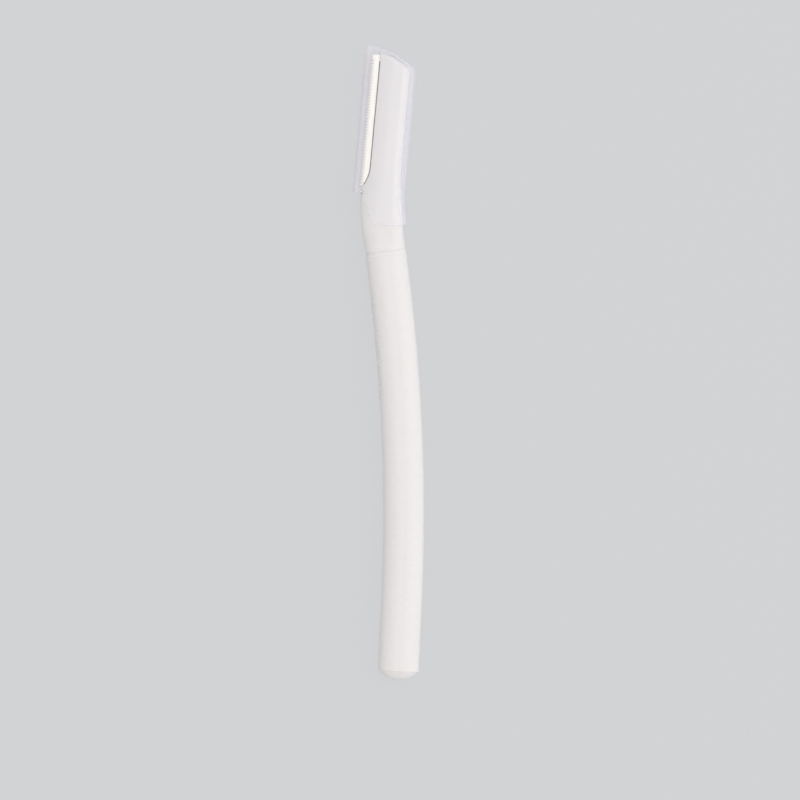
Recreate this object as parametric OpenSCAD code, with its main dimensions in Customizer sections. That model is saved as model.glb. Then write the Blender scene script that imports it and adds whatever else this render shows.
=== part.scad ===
// Eyebrow razor with a bowed clamshell handle, a guarded blade and a slip-on cap.
// It lies flat: +Y runs from the handle to the head, -X is the blade's side, +Z is up.

/* [Handle] */
// Length of the handle shells along their centreline
handle_len = 105; // [90:1:120]
// Length of the straight stretch at the lower end
straight_len = 18.3; // [12:0.1:30]
// Radius of the bow above the straight stretch
bow_r = 474; // [350:1:700]
// Lean of the straight stretch to the right, in degrees
lean = 2.57; // [0:0.01:4]
// Width of the handle
handle_w = 10.2; // [9:0.1:12]
// Thickness of the handle
handle_t = 7.2; // [6.6:0.1:8]
// Wall of the handle shells
shell_wall = 1.3; // [1.1:0.05:1.5]
// Height of the tongue along the parting line
tongue_h = 0.5; // [0.3:0.05:0.8]
// Number of grip ribs on the blade's side
rib_count = 22; // [10:1:26]
// Distance from one grip rib to the next
rib_pitch = 1.33; // [1.1:0.01:1.6]
// Width of a grip rib
rib_w = 0.6; // [0.4:0.05:0.8]
// Height of a grip rib
rib_h = 0.22; // [0.1:0.02:0.4]
// Distance from the mouth to the first grip rib
rib_drop = 8; // [5:0.5:12]
// How far the grip ribs reach in from the handle's edge
rib_reach = 1.1; // [0.8:0.1:1.6]
// Width of the bead at the mouth
bead_w = 0.95; // [0.6:0.05:1.5]
// Width of the groove below the bead
groove_w = 0.3; // [0.2:0.05:0.5]
// Depth of the groove below the bead
groove_d = 0.25; // [0.1:0.05:0.4]

/* [End cap] */
// Height of the dome
dome_h = 2.25; // [1.5:0.05:3]
// Radius of the dome across the handle
dome_r = 6.2; // [6:0.1:9]
// Step from the shells to the dome
dome_step = 0.15; // [0.05:0.05:0.3]
// Length of the plug inside the shells
plug_len = 5; // [3:0.1:8]
// Height of the snap ridge round the plug
snap_h = 0.25; // [0.1:0.05:0.4]
// Width of the snap ridge
snap_w = 0.9; // [0.6:0.1:1.5]

/* [Head] */
// Lean of the head to the right, in degrees
head_tilt = 5.2; // [3:0.1:8]
// Distance from the head's axis to its spine
spine_u = 1.85; // [1.6:0.05:2.1]
// Distance from the head's axis to the edge of its moulding beside the guard
window_u = 5.85; // [5.6:0.05:6.1]
// Half thickness of the head
head_half = 2.3; // [2.1:0.05:2.35]
// Half thickness of the neck at the handle
neck_half = 3.35; // [3.1:0.05:3.5]
// Length over which the neck thins down to the head
neck_len = 9; // [7:0.5:9.5]
// Step from the handle's mouth to the neck
neck_step = 0.15; // [0.05:0.05:0.3]
// Height where the spine straightens
spine_v = 19.5; // [17:0.5:22]
// Height of the heel below the blade
heel_v = 14; // [13:0.5:15]
// Distance from the head's axis to the heel
heel_u = 7.55; // [7.4:0.05:7.7]
// Radius of the stop nub at the heel
nub_r = 0.4; // [0.3:0.05:0.5]
// Length of the tang inside the handle
tang_len = 14; // [10:0.5:20]
// Radius of the post through the tang
post_r = 1.3; // [1:0.05:1.5]
// Distance from the mouth to the post
post_drop = 8; // [5:0.5:9]

/* [Blade and guard] */
// Thickness of the blade
blade_t = 0.25; // [0.2:0.01:0.3]
// Distance from the head's axis to the cutting edge
edge_u = 7.45; // [7.35:0.05:7.5]
// Width of the blade
blade_w = 5.4; // [5.2:0.1:5.6]
// Width of the ground bevel
grind_w = 0.7; // [0.5:0.05:0.9]
// Height of the blade's lower end
blade_v = 16; // [15.8:0.1:16.4]
// Length of the blade
blade_len = 31.4; // [30:0.1:31.6]
// Thickness of the guard's steel
guard_t = 0.15; // [0.1:0.01:0.18]
// Distance from the head's axis to the tips of the guard's teeth
guard_u = 7.85; // [7.8:0.01:7.95]
// Width of the guard's folded sides
guard_w = 3.2; // [2.8:0.1:3.4]
// Number of slots in the guard
slot_count = 43; // [30:1:43]
// Distance from one slot to the next
slot_pitch = 0.73; // [0.7:0.01:0.73]
// Width of a slot
slot_w = 0.34; // [0.25:0.01:0.4]
// Depth of a slot
slot_d = 0.75; // [0.5:0.05:0.9]
// Number of stakes that hold the blade
stake_count = 3; // [2:1:4]
// Radius of a stake
stake_r = 0.85; // [0.7:0.05:0.95]
// Radius of a stake's head
stake_head_r = 1.25; // [1.1:0.05:1.4]
// Height of a stake's head
stake_head_h = 0.4; // [0.3:0.05:0.5]

/* [Cap] */
// Distance from the head's axis to the cap's spine
cap_spine_u = 3.26; // [3.1:0.02:3.5]
// Distance from the head's axis to the fin's edge
cap_fin_u = 9.6; // [9.4:0.05:9.9]
// Radius of the cap's top in plan
top_r = 21.1; // [20.7:0.1:21.8]
// Rise of the cap's tip above the blade's upper end
top_rise = 3.7; // [3.6:0.05:4.5]
// Distance from the head's axis to the centre of the top's arc
top_u = 10.45; // [10.1:0.05:10.8]
// Wall of the cap's broad sides
cap_wall = 0.9; // [0.8:0.02:0.95]
// Wall of the cap along its spine
cap_spine_wall = 1; // [0.9:0.05:1.1]
// Wall of the cap along its top
cap_top_wall = 0.7; // [0.6:0.05:0.8]
// Wall of the cap's fin
cap_fin_wall = 0.75; // [0.6:0.05:0.8]
// Wall of the cap at its mouth
cap_lip_wall = 0.5; // [0.45:0.05:0.6]
// How far the cap's collar flares at its mouth
flare = 1.15; // [1:0.05:1.4]
// Height of the cap's mouth under the spine
mouth_v = 6.4; // [6:0.1:7]
// Height of the fin's lower end
fin_v = 14.15; // [14.1:0.05:14.6]
// Clearance between the head's top and the cap
top_gap = 0.25; // [0.2:0.05:0.4]

/* [Clearances] */
// Clearance between moulded pieces that are fitted together
fit_gap = 0.05; // [0.02:0.01:0.1]
// Clearance between the cap's notch and the heel's nub
nub_gap = 0.22; // [0.15:0.01:0.3]

/* [Hidden] */
// How far a cutting shape runs past what it cuts
overrun = 1;
// Points in a quarter of a section
quarter = 9;
// Half the thickness of the handle and of the cap, which lie on the same surface
half_t = handle_t / 2;
// Half the width of the flat strip along each broad face
land = 0.9;
// Bluntness of the handle's sides, of the blade's side of the head and of its spine
side_blunt = 2.3;
fin_blunt = 1.5;
spine_blunt = 2.2;
// Distance from the head's axis to its thickest line
ridge_u = 1;
// Reach of the head's section towards the blade, which the open side cuts short
fin_reach = 8.4;
// How the neck's spine curves in towards the head
neck_curve = 1.35;
// Height of the centre of the top's arc
top_v = blade_v + blade_len + top_rise - top_r;
// Radius of the head's top in plan, of its rim and of the cap's rim
head_top_r = top_r - cap_top_wall - top_gap;
head_round = 1.2;
cap_round = 1.6;
// Share of a rim's rounding that the fin and the spine take
rim_share = 0.3;
// Height and radius of the rounded lower end of the open side
window_v = 21.6;
window_r = 10.8;
// Distance from the head's axis to the stakes and to the back of the blade
stake_share = 0.7;
blade_back_u = edge_u - blade_w;
stake_u = edge_u - blade_w * stake_share;
// Thickness of the clamp plate under a stake's head, and the plate's lower end and edge
stake_floor = 1.3;
plate_v = 15;
plate_u = 0.3;
// How far the guard runs past the blade's upper end, and facets round its fold
guard_over = 1.5;
guard_len = blade_len + guard_over;
fold_steps = 6;
// Rise of the nub above the heel, its height and half its length
nub_rise = 0.45;
nub_v = heel_v + nub_rise;
nub_half = 1.4;
// Radii at the mouth's rounded end and corner, and the corner's turn
mouth_r = 11;
corner_r = 1.65;
corner_turn = 16;
// Drop from the nub to the top of the mouth's slanted side
slant_drop = 1.25;

// The handle's centreline in plan, from the lower seam
turn = (handle_len - straight_len) / bow_r * 180 / PI;
bend_start = straight_len * [sin(lean), cos(lean)];
bow_centre = bend_start + bow_r * [-cos(lean), sin(lean)];
mouth_point = bow_centre + bow_r * [cos(turn - lean), sin(turn - lean)];
neck_turn = turn - lean + head_tilt;

// The corners of the whole razor in plan
function head_point(u, v) = mouth_point
    + [u * cos(head_tilt) + v * sin(head_tilt), v * cos(head_tilt) - u * sin(head_tilt)];
left_x = head_point(-cap_fin_u, fin_v).x;
right_x = bow_centre.x + bow_r + handle_w / 2;
top_y = head_point(-cap_fin_u, top_v + top_r).y;
bottom_y = -dome_h;
middle = [(left_x + right_x) / 2, (top_y + bottom_y) / 2];

// Frames in which the pieces are drawn, each with the middle plane at height zero
module in_place() translate([-middle.x, -middle.y, half_t]) children();
module at_end() in_place() rotate(-lean) children();
module at_mouth() in_place() translate(mouth_point) rotate(turn - lean) children();
module at_head() in_place() translate(mouth_point) rotate(-head_tilt) children();

// Outline of a section with flat strips on its broad faces, in a unit box about its ridge
function round_x(t, blunt) = pow(abs(cos(t)), 2 / blunt);
function round_z(t, blunt) = sign(sin(t)) * pow(abs(sin(t)), 2 / blunt);
quarter_steps = [for (k = [0:quarter]) 90 * k / quarter];

// Points round a section: a is its reach to the left, b to the right, h its half thickness
function section(a, b, h, left_blunt, right_blunt, flat) = concat(
    [for (t = quarter_steps)
        [flat + (b - flat) * round_x(t, right_blunt), h * round_z(t, right_blunt)]],
    [for (t = quarter_steps) let (s = 90 + t)
        [-flat - (a - flat) * round_x(s, left_blunt), h * round_z(s, left_blunt)]],
    [for (k = [1:quarter]) let (s = 180 + quarter_steps[k])
        [-flat - (a - flat) * round_x(s, left_blunt), h * round_z(s, left_blunt)]],
    [for (k = [0:quarter - 1]) let (s = 270 + quarter_steps[k])
        [flat + (b - flat) * round_x(s, right_blunt), h * round_z(s, right_blunt)]]);

// Section of the handle, drawn in by a depth on every side
function handle_section(inset) = section(handle_w / 2 - inset, handle_w / 2 - inset,
    half_t - inset, side_blunt, side_blunt, land);

// Triangles that close a ring from its front half to its back half
function rungs(n) = concat([[0, 1, n - 1]],
    [for (i = [1:n / 2 - 2]) each [[i, i + 1, n - i - 1], [i, n - i - 1, n - i]]],
    [[n / 2 - 1, n / 2, n / 2 + 1]]);
function reversed(face) = [for (i = [len(face) - 1:-1:0]) face[i]];

// Solid skin over a list of rings that all have the same number of points
module skin(rings) {
    n = len(rings[0]);
    last = (len(rings) - 1) * n;
    polyhedron(
        points = [for (ring = rings) each ring],
        faces = concat(
            [for (face = rungs(n)) reversed(face)],
            [for (r = [0:len(rings) - 2], i = [0:n - 1]) let (j = (i + 1) % n)
                each [[r * n + i, r * n + j, (r + 1) * n + i],
                    [r * n + j, (r + 1) * n + j, (r + 1) * n + i]]],
            [for (face = rungs(n)) [for (i = face) last + i]]));
}

// Extrudes a section drawn in the XZ plane along the handle's whole centreline
module along_handle() {
    at_end() translate([0, straight_len, 0]) {
        rotate([90, 0, 0]) linear_extrude(straight_len) children();
        translate([-bow_r, 0, 0]) rotate_extrude(angle = turn, start = 0, $fn = 360)
            translate([bow_r, 0]) children();
    }
}

// Half of a drawing: side is 1 for the front half and -1 for the back half
module half_of(side) {
    intersection() {
        children();
        translate([-handle_w, side > 0 ? 0 : -handle_t]) square([2 * handle_w, handle_t]);
    }
}

// Band round the parting plane in which the tongue stands
module tongue_band(height) translate([-handle_w, -overrun]) square([2 * handle_w, height + overrun]);

// Section of the front shell, with the rebate that takes the tongue
module front_section() {
    difference() {
        half_of(1) polygon(handle_section(0));
        polygon(handle_section(shell_wall));
        intersection() {
            polygon(handle_section(shell_wall / 2));
            tongue_band(tongue_h + fit_gap);
        }
    }
}

// Section of the back shell, with the tongue along its inner edge
module back_section() {
    difference() {
        union() {
            half_of(-1) polygon(handle_section(0));
            intersection() {
                polygon(handle_section(shell_wall / 2 + fit_gap));
                tongue_band(tongue_h);
            }
        }
        polygon(handle_section(shell_wall));
    }
}

// Grip ribs on one half of the blade's side
module grip_ribs(side) {
    in_place() translate(bow_centre) for (k = [0:rib_count - 1])
        rotate(turn - lean - (rib_drop + k * rib_pitch) / bow_r * 180 / PI)
            translate([bow_r, 0, 0]) rotate([90, 0, 0])
                linear_extrude(rib_w) intersection() {
                    difference() {
                        half_of(side) polygon(handle_section(-rib_h));
                        polygon(handle_section(shell_wall / 2 - fit_gap));
                    }
                    translate([-handle_w, -handle_t]) square([handle_w / 2 + rib_reach, 2 * handle_t]);
                }
}

// Groove round the mouth, which leaves a bead at the very edge
module mouth_groove() {
    at_mouth() translate([0, -bead_w, 0]) rotate([90, 0, 0]) linear_extrude(groove_w) difference() {
        square([2 * handle_w, 2 * handle_t], center = true);
        polygon(handle_section(groove_d));
    }
}

// Groove inside the shells for the plug's snap ridge
module snap_groove() {
    at_end() translate([0, plug_len / 2 + snap_w + fit_gap, 0]) rotate([90, 0, 0])
        linear_extrude(snap_w + 2 * fit_gap) polygon(handle_section(shell_wall - snap_h - fit_gap));
}

module handle_front_shell() {
    color("white") difference() {
        union() {
            along_handle() front_section();
            grip_ribs(1);
        }
        mouth_groove();
        snap_groove();
    }
}

module handle_back_shell() {
    color("whitesmoke") {
        difference() {
            union() {
                along_handle() back_section();
                grip_ribs(-1);
            }
            mouth_groove();
            snap_groove();
        }
        at_mouth() translate([0, -post_drop, -half_t + shell_wall / 2])
            cylinder(r = post_r, h = handle_t - 1.5 * shell_wall - fit_gap, $fn = 32);
    }
}

// Ring of the end cap at a height along the handle, drawn in by a depth
function plug_ring(y, inset) = [for (p = handle_section(inset)) [p.x, y, p.y]];
// Ring of the dome at a height below the seam
function dome_ring(y) = let (
    base = handle_w / 2 - dome_step,
    size = sqrt(dome_r * dome_r - pow(dome_r - dome_h - y, 2)) / dome_base_r)
    [for (p = handle_section(dome_step)) [p.x * size, y, p.y * size]];
dome_base_r = sqrt(dome_r * dome_r - pow(dome_r - dome_h, 2));
// Heights of the dome's rings, from the seam to the apex
dome_shares = [0, 0.2, 0.4, 0.6, 0.75, 0.87, 0.95, 0.99];

module end_cap() {
    inner = shell_wall + fit_gap;
    color("white") at_end() skin(concat(
        [for (k = [len(dome_shares) - 1:-1:0]) dome_ring(-dome_h * dome_shares[k])],
        [plug_ring(0, inner),
            plug_ring(plug_len / 2, inner),
            plug_ring(plug_len / 2 + snap_w / 3, inner - snap_h),
            plug_ring(plug_len / 2 + snap_w * 2 / 3, inner - snap_h),
            plug_ring(plug_len / 2 + snap_w, inner),
            plug_ring(plug_len, inner)]));
}

// Eases from zero to one without a kink
function ease(t) = let (c = max(0, min(1, t))) c * c * (3 - 2 * c);
function mix(a, b, t) = a + (b - a) * t;

// Height of a ring at a place across the head: along a line, or along the arc of the top
function slanted(from, to) = function (u) mix(from.y, to.y, (u - from.x) / (to.x - from.x));
function arched(r) = function (u) top_v + sqrt(r * r - pow(u + top_u, 2));

// Ring of the head or the cap between two edges, thickest at its ridge
function ring(left, right, ridge, half, left_blunt, height) =
    [for (p = section(ridge - left, right - ridge, half, left_blunt, spine_blunt, land))
        [ridge + p.x, height(ridge + p.x), p.y]];

// Ring of the tang at a distance below the mouth, which fills the shells and follows their bow
function tang_ring(drop) = let (turned = neck_turn - drop / bow_r * 180 / PI)
    [for (p = handle_section(shell_wall + fit_gap)) [
        (bow_r + p.x) * cos(turned) - bow_r * cos(neck_turn),
        (bow_r + p.x) * sin(turned) - bow_r * sin(neck_turn), p.y]];

// Edges of the neck's shoulder in the head's frame
shoulder = (handle_w / 2 - neck_step) * [cos(neck_turn), sin(neck_turn)];
// Where the shares of the way up the neck put its rings
neck_shares = [0, 0.1, 0.2, 0.32, 0.46, 0.64, 0.82, 1];

// Ring of the neck at a share of the way from the shoulder to the straight spine
function neck_ring(t) = let (
    low_v = mix(-shoulder.y, spine_v, t),
    high_v = mix(shoulder.y, spine_v, t),
    left = low_v < heel_v
        ? mix(-shoulder.x, -heel_u, (low_v + shoulder.y) / (heel_v + shoulder.y))
        : mix(-heel_u, -fin_reach, (low_v - heel_v) / (spine_v - heel_v)),
    right = spine_u + (shoulder.x - spine_u) * pow(1 - t, neck_curve),
    half = mix(neck_half, head_half, ease(mix(low_v, high_v, 0.5) / neck_len)))
    ring(left, right, mix(0, -ridge_u, ease(t)), half, mix(side_blunt, fin_blunt, ease(t)),
        slanted([left, low_v], [right, high_v]));

// Rings that round the top's rim: r is the arc's radius, round the radius of the rim
function rim_rings(left, right, half, r, round, steps) = [for (k = [0:steps]) let (
    a = 86 * k / steps,
    inset = round * (1 - cos(a)))
    ring(left + inset * rim_share, right - inset * rim_share, -ridge_u, half - inset, fin_blunt,
        arched(r - round * (1 - sin(a))))];

// The head's whole form before it is split for the blade, from the tang to the rounded top
module head_form() {
    skin(concat(
        [for (share = [1, 0.5, 0]) tang_ring(tang_len * share)],
        [for (t = neck_shares) neck_ring(t)],
        rim_rings(-fin_reach, spine_u, head_half, head_top_r, head_round, 4)));
}

// Plan of the open side beside the blade, with its rounded lower end
module window_plan() {
    translate([-window_u - window_r, window_v]) difference() {
        union() {
            circle(r = window_r, $fn = 64);
            translate([-window_r, 0]) square([2 * window_r, head_top_r + top_v]);
        }
        translate([-3 * window_r, -window_r]) square([2 * window_r, 2 * window_r]);
    }
}

// Everything on the blade's side that the moulding leaves open
module window_cut() translate([0, 0, -half_t]) linear_extrude(handle_t) window_plan();

// Places the children at each stake
module at_stakes() for (k = [0:stake_count - 1])
    translate([-stake_u, blade_v + blade_len * (k + 0.5) / stake_count, 0]) children();

// Space for the folded sides of the guard, and for the blade between them
module guard_pocket() {
    translate([-guard_u, blade_v - fit_gap, -blade_t / 2 - guard_t])
        cube([guard_w + fit_gap, head_top_r + top_v, blade_t + 2 * guard_t]);
    translate([-guard_u, blade_v - fit_gap, -blade_t / 2])
        cube([guard_u - blade_back_u + fit_gap, blade_len + 2 * fit_gap, blade_t]);
}

// Space behind the blade that the clamp plate fills, drawn in by a gap
module plate_space(gap) {
    translate([-cap_fin_u, plate_v + gap, -handle_t - blade_t / 2])
        cube([cap_fin_u + plate_u - gap, head_top_r + top_v, handle_t]);
}

module head_body() {
    color("white") at_head() {
        difference() {
            head_form();
            window_cut();
            plate_space(0);
            guard_pocket();
            rotate(neck_turn) translate([0, -post_drop, -half_t])
                cylinder(r = post_r + 2 * fit_gap, h = handle_t, $fn = 32);
        }
        at_stakes() {
            translate([0, 0, -blade_t / 2 - stake_floor])
                cylinder(r = stake_r, h = stake_floor + blade_t + overrun, $fn = 32);
            translate([0, 0, -blade_t / 2 - stake_floor - stake_head_h])
                cylinder(r = stake_head_r, h = stake_head_h, $fn = 32);
        }
        translate([-heel_u, nub_v, -nub_half]) cylinder(r = nub_r, h = 2 * nub_half, $fn = 32);
    }
}

module blade_clamp_plate() {
    color("whitesmoke") at_head() difference() {
        intersection() {
            head_form();
            plate_space(fit_gap);
        }
        window_cut();
        guard_pocket();
        at_stakes() {
            translate([0, 0, -half_t]) cylinder(r = stake_r + fit_gap, h = handle_t, $fn = 32);
            translate([0, 0, -half_t - blade_t / 2 - stake_floor])
                cylinder(r = stake_head_r + fit_gap, h = half_t, $fn = 32);
        }
    }
}

module blade() {
    color("silver") at_head() difference() {
        translate([0, blade_v + blade_len, 0]) rotate([90, 0, 0]) linear_extrude(blade_len)
            polygon([[-edge_u, 0], [grind_w - edge_u, blade_t / 2], [-blade_back_u, blade_t / 2],
                [-blade_back_u, -blade_t / 2], [grind_w - edge_u, -blade_t / 2]]);
        at_stakes() translate([0, 0, -blade_t]) cylinder(r = stake_r + fit_gap, h = 2 * blade_t, $fn = 32);
    }
}

// Folded section of the guard, round at its teeth, with a depth taken off every side
module guard_section(inset) {
    r = blade_t / 2 + guard_t - inset;
    polygon(concat(arc([blade_t / 2 + guard_t - guard_u, 0], r, 90, 270, fold_steps),
        [[guard_w - guard_u, -r], [guard_w - guard_u, r]]));
}

module guard_comb() {
    color("gainsboro") at_head() difference() {
        translate([0, blade_v + guard_len, 0]) rotate([90, 0, 0]) linear_extrude(guard_len)
            difference() {
                guard_section(0);
                guard_section(guard_t);
                translate([guard_w - guard_u - guard_t, -blade_t / 2]) square([guard_t, blade_t]);
            }
        for (k = [0:slot_count - 1])
            translate([-guard_u - slot_d, blade_v + slot_pitch * (k + 1) - slot_w / 2, -half_t])
                cube([2 * slot_d, slot_w, handle_t]);
    }
}

function arc(centre, r, from, to, steps) =
    [for (k = [0:steps]) let (a = mix(from, to, k / steps)) centre + r * [cos(a), sin(a)]];

// Corner between the mouth's slanted side and its rounded end, tangent to both
mouth_centre = [-ridge_u, mouth_v + mouth_r];
corner_centre = mouth_centre + (mouth_r - corner_r) * [-sin(corner_turn), -cos(corner_turn)];
notch_r = nub_r + nub_gap;
slant_top = [notch_r - heel_u, nub_v - slant_drop];
slant_run = corner_centre - slant_top;
slant_turn = atan2(slant_run.y, slant_run.x) - asin(corner_r / norm(slant_run));

// Plan of what is cut away below the cap's mouth
module mouth_plan() {
    polygon(concat(
        [[-cap_fin_u - overrun, fin_v]],
        arc([-heel_u, nub_v], notch_r, 180 - asin((fin_v - nub_v) / notch_r), 0, 8),
        [slant_top],
        arc(corner_centre, corner_r, slant_turn + 270, 270 - corner_turn, 5),
        arc(mouth_centre, mouth_r, 272 - corner_turn, 305, 8),
        [[cap_spine_u + 2 * flare, 0], [-cap_fin_u - overrun, 0]]));
}

// The cap's form: reach to the fin, to the spine and at the collar, and the radius of its top
module cap_form(fin, spine, collar, half, r, round, bottom) {
    skin(concat(
        [for (v = [bottom, spine_v])
            let (right = mix(spine, collar, (spine_v - v) / (spine_v - mouth_v)))
                ring(-fin, right, -ridge_u, half, fin_blunt, slanted([-fin, v], [right, v]))],
        rim_rings(-fin, spine, half, r, round, 4)));
}

module cap() {
    color("ghostwhite", 0.6) at_head() difference() {
        cap_form(cap_fin_u, cap_spine_u, cap_spine_u + flare, half_t, top_r, cap_round, overrun);
        cap_form(cap_fin_u - cap_fin_wall, cap_spine_u - cap_spine_wall,
            cap_spine_u + flare - cap_lip_wall, half_t - cap_wall, top_r - cap_top_wall,
            cap_round - cap_spine_wall / 2, -overrun);
        translate([0, 0, -half_t - overrun]) linear_extrude(handle_t + 2 * overrun) mouth_plan();
    }
}

handle_front_shell();
handle_back_shell();
end_cap();
head_body();
blade_clamp_plate();
blade();
guard_comb();
cap();
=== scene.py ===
"""Looks of an eyebrow razor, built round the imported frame.

The razor lies flat as in the photograph: +Y runs from the handle's end to the cap's tip, -X is the
blade's side and +Z is up, towards the camera. Sizes in the classes are in millimetres, as a maker
would write them, and every mesh is made in metres in the frame's own place. The head's frame starts
in the middle of the handle's mouth: u runs across the head, away from the blade, v runs along it
and z is up.
"""

from __future__ import annotations

import logging
import math
from dataclasses import dataclass, field
from enum import Enum
from typing import Sequence

import bmesh
import bpy
from bpy.types import Material, Mesh, Node, Nodes, NodeSocket, Object
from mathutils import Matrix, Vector


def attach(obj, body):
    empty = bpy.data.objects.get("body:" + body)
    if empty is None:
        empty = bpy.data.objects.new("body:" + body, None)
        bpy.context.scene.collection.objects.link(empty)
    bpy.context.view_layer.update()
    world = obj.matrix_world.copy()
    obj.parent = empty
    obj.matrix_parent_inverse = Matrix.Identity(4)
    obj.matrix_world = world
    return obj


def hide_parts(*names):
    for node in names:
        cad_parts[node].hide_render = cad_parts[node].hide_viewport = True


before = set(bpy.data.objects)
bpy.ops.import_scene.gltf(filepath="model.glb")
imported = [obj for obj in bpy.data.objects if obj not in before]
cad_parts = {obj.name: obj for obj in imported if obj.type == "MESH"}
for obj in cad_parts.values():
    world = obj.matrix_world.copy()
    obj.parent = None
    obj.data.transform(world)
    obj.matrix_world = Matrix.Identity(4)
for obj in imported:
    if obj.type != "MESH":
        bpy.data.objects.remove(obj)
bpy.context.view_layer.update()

log = logging.getLogger("eyebrow_razor")

MM = 0.001
RAZOR_BODY = "razor"
CAP_BODY = "cap"

SHARP = 32.0  # Angle in degrees above which an edge stays sharp.
PAST_TIP, PAST_TEETH, PAST_FACES = 60.0, 12.0, 6.0  # Reach of tools that cut right through.
FIN_BLUNT, SPINE_BLUNT = 1.5, 2.2  # Powers of the curves of the head's and the cap's two sides.
NOISE_SPAN = (0.3, 0.7)  # Values that a noise seldom leaves.
OVERLAP = 0.02  # Depth by which a tool or the floor passes the face beside it.
SENSOR_W = 36.0  # Width of the camera's sensor.
WALL_MARK = "wall"  # Name of the mark that tells what lies under the cap's surface, and its values.
# FIN_EDGE marks the fin's solid edge, which takes a painted shade.
ON_HOLLOW, OVER_HOLLOW, OVER_SOLID, FIN_EDGE = 0.0, 0.5, 1.0, 1.5

Pair = tuple[float, float]
Triple = tuple[float, float, float]
Ring = list[Vector]
Verts = Sequence[bmesh.types.BMVert]
Inputs = dict[str | int, object]


def mix(a: float, b: float, share: float) -> float:
    """Returns the value at a share of the way from a to b."""
    return a + (b - a) * share


def ease(share: float) -> float:
    """Returns a share eased at both ends."""
    c = max(0.0, min(1.0, share))
    return c * c * (3.0 - 2.0 * c)


def steps(count: int) -> list[float]:
    """Returns count + 1 shares from 0 to 1."""
    return [k / count for k in range(count + 1)]


def arc(centre: Pair, r: float, start: float, stop: float, count: int) -> list[Pair]:
    """Returns points of a circle's arc between two angles in degrees."""
    turns = [math.radians(mix(start, stop, t)) for t in steps(count)]
    return [(centre[0] + r * math.cos(a), centre[1] + r * math.sin(a)) for a in turns]


# Places and sections


@dataclass(frozen=True)
class Plan:
    """Where the handle's bowed centreline and the head's axis lie in plan, and what pieces share.

    Args:
        handle_len: Length of the shells along their centreline.
        straight_len: Length of the straight stretch at the lower end.
        bow_r: Radius of the bow above it.
        lean: Lean of the straight stretch to the right, in radians.
        head_tilt: Lean of the head to the right, in radians.
        handle_w: Width of the handle.
        half_t: Half the thickness of the handle and of the cap.
        fin_u: Distance from the head's axis to the edge of the cap's fin.
        fin_v: Height of the fin's lower end.
        tip_v: Height of the cap's tip.
        heel_u: Distance from the head's axis to the heel and the nub on it.
        nub_v: Height of the nub.
        dome_h: Height of the end cap's dome below the shells.
    """

    handle_len: float = 105.0
    straight_len: float = 18.3
    bow_r: float = 474.0
    lean: float = math.radians(2.57)
    head_tilt: float = math.radians(5.2)
    handle_w: float = 10.2
    half_t: float = 3.6
    fin_u: float = 9.6
    fin_v: float = 14.15
    tip_v: float = 51.1
    heel_u: float = 7.55
    nub_v: float = 14.45
    dome_h: float = 2.25

    @property
    def turn(self) -> float:
        """Returns how far the bow turns the handle to the left."""
        return (self.handle_len - self.straight_len) / self.bow_r

    @property
    def neck_turn(self) -> float:
        """Returns the angle between the handle's mouth and the head's axis."""
        return self.turn - self.lean + self.head_tilt

    @property
    def bow_centre(self) -> Vector:
        """Returns the centre of the bow, from the lower seam."""
        bend = self.straight_len * Vector((math.sin(self.lean), math.cos(self.lean)))
        return bend + self.bow_r * Vector((-math.cos(self.lean), math.sin(self.lean)))

    @property
    def mouth(self) -> Vector:
        """Returns the middle of the handle's mouth, from the lower seam."""
        heading = self.turn - self.lean
        return self.bow_centre + self.bow_r * Vector((math.cos(heading), math.sin(heading)))

    def head_plan(self, u: float, v: float) -> Vector:
        """Returns a point of the head's frame in plan, from the lower seam."""
        c, s = math.cos(self.head_tilt), math.sin(self.head_tilt)
        return self.mouth + Vector((u * c + v * s, v * c - u * s))

    @property
    def middle(self) -> Vector:
        """Finds the middle of the razor's box in plan.

        Returns:
            The middle, from the lower seam.
        """
        left = self.head_plan(-self.fin_u, self.fin_v).x
        top = self.head_plan(-self.fin_u, self.tip_v).y
        right = self.bow_centre.x + self.bow_r + self.handle_w / 2
        return Vector(((left + right) / 2, (top - self.dome_h) / 2))

    def row(self, spot: Vector, z: float) -> Vector:
        """Returns a plan point and a height above the middle plane in the frame's metres."""
        place = (spot - self.middle) * MM
        return Vector((place.x, place.y, (z + self.half_t) * MM))

    def on_head(self, u: float, v: float, z: float) -> Vector:
        """Returns a point given in the head's frame."""
        return self.row(self.head_plan(u, v), z)

    def on_handle(self, run: float, across: float, z: float) -> Vector:
        """Places a point of the handle.

        Args:
            run: Distance along the centreline from the lower seam.
            across: Distance to the right of the centreline.
            z: Height above the middle plane.

        Returns:
            The point in the frame's metres.
        """
        if run <= self.straight_len:
            along = Vector((math.sin(self.lean), math.cos(self.lean)))
            side = Vector((math.cos(self.lean), -math.sin(self.lean)))
            return self.row(along * run + side * across, z)
        turned = (run - self.straight_len) / self.bow_r - self.lean
        side = Vector((math.cos(turned), math.sin(turned)))
        return self.row(self.bow_centre + side * (self.bow_r + across), z)


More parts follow.
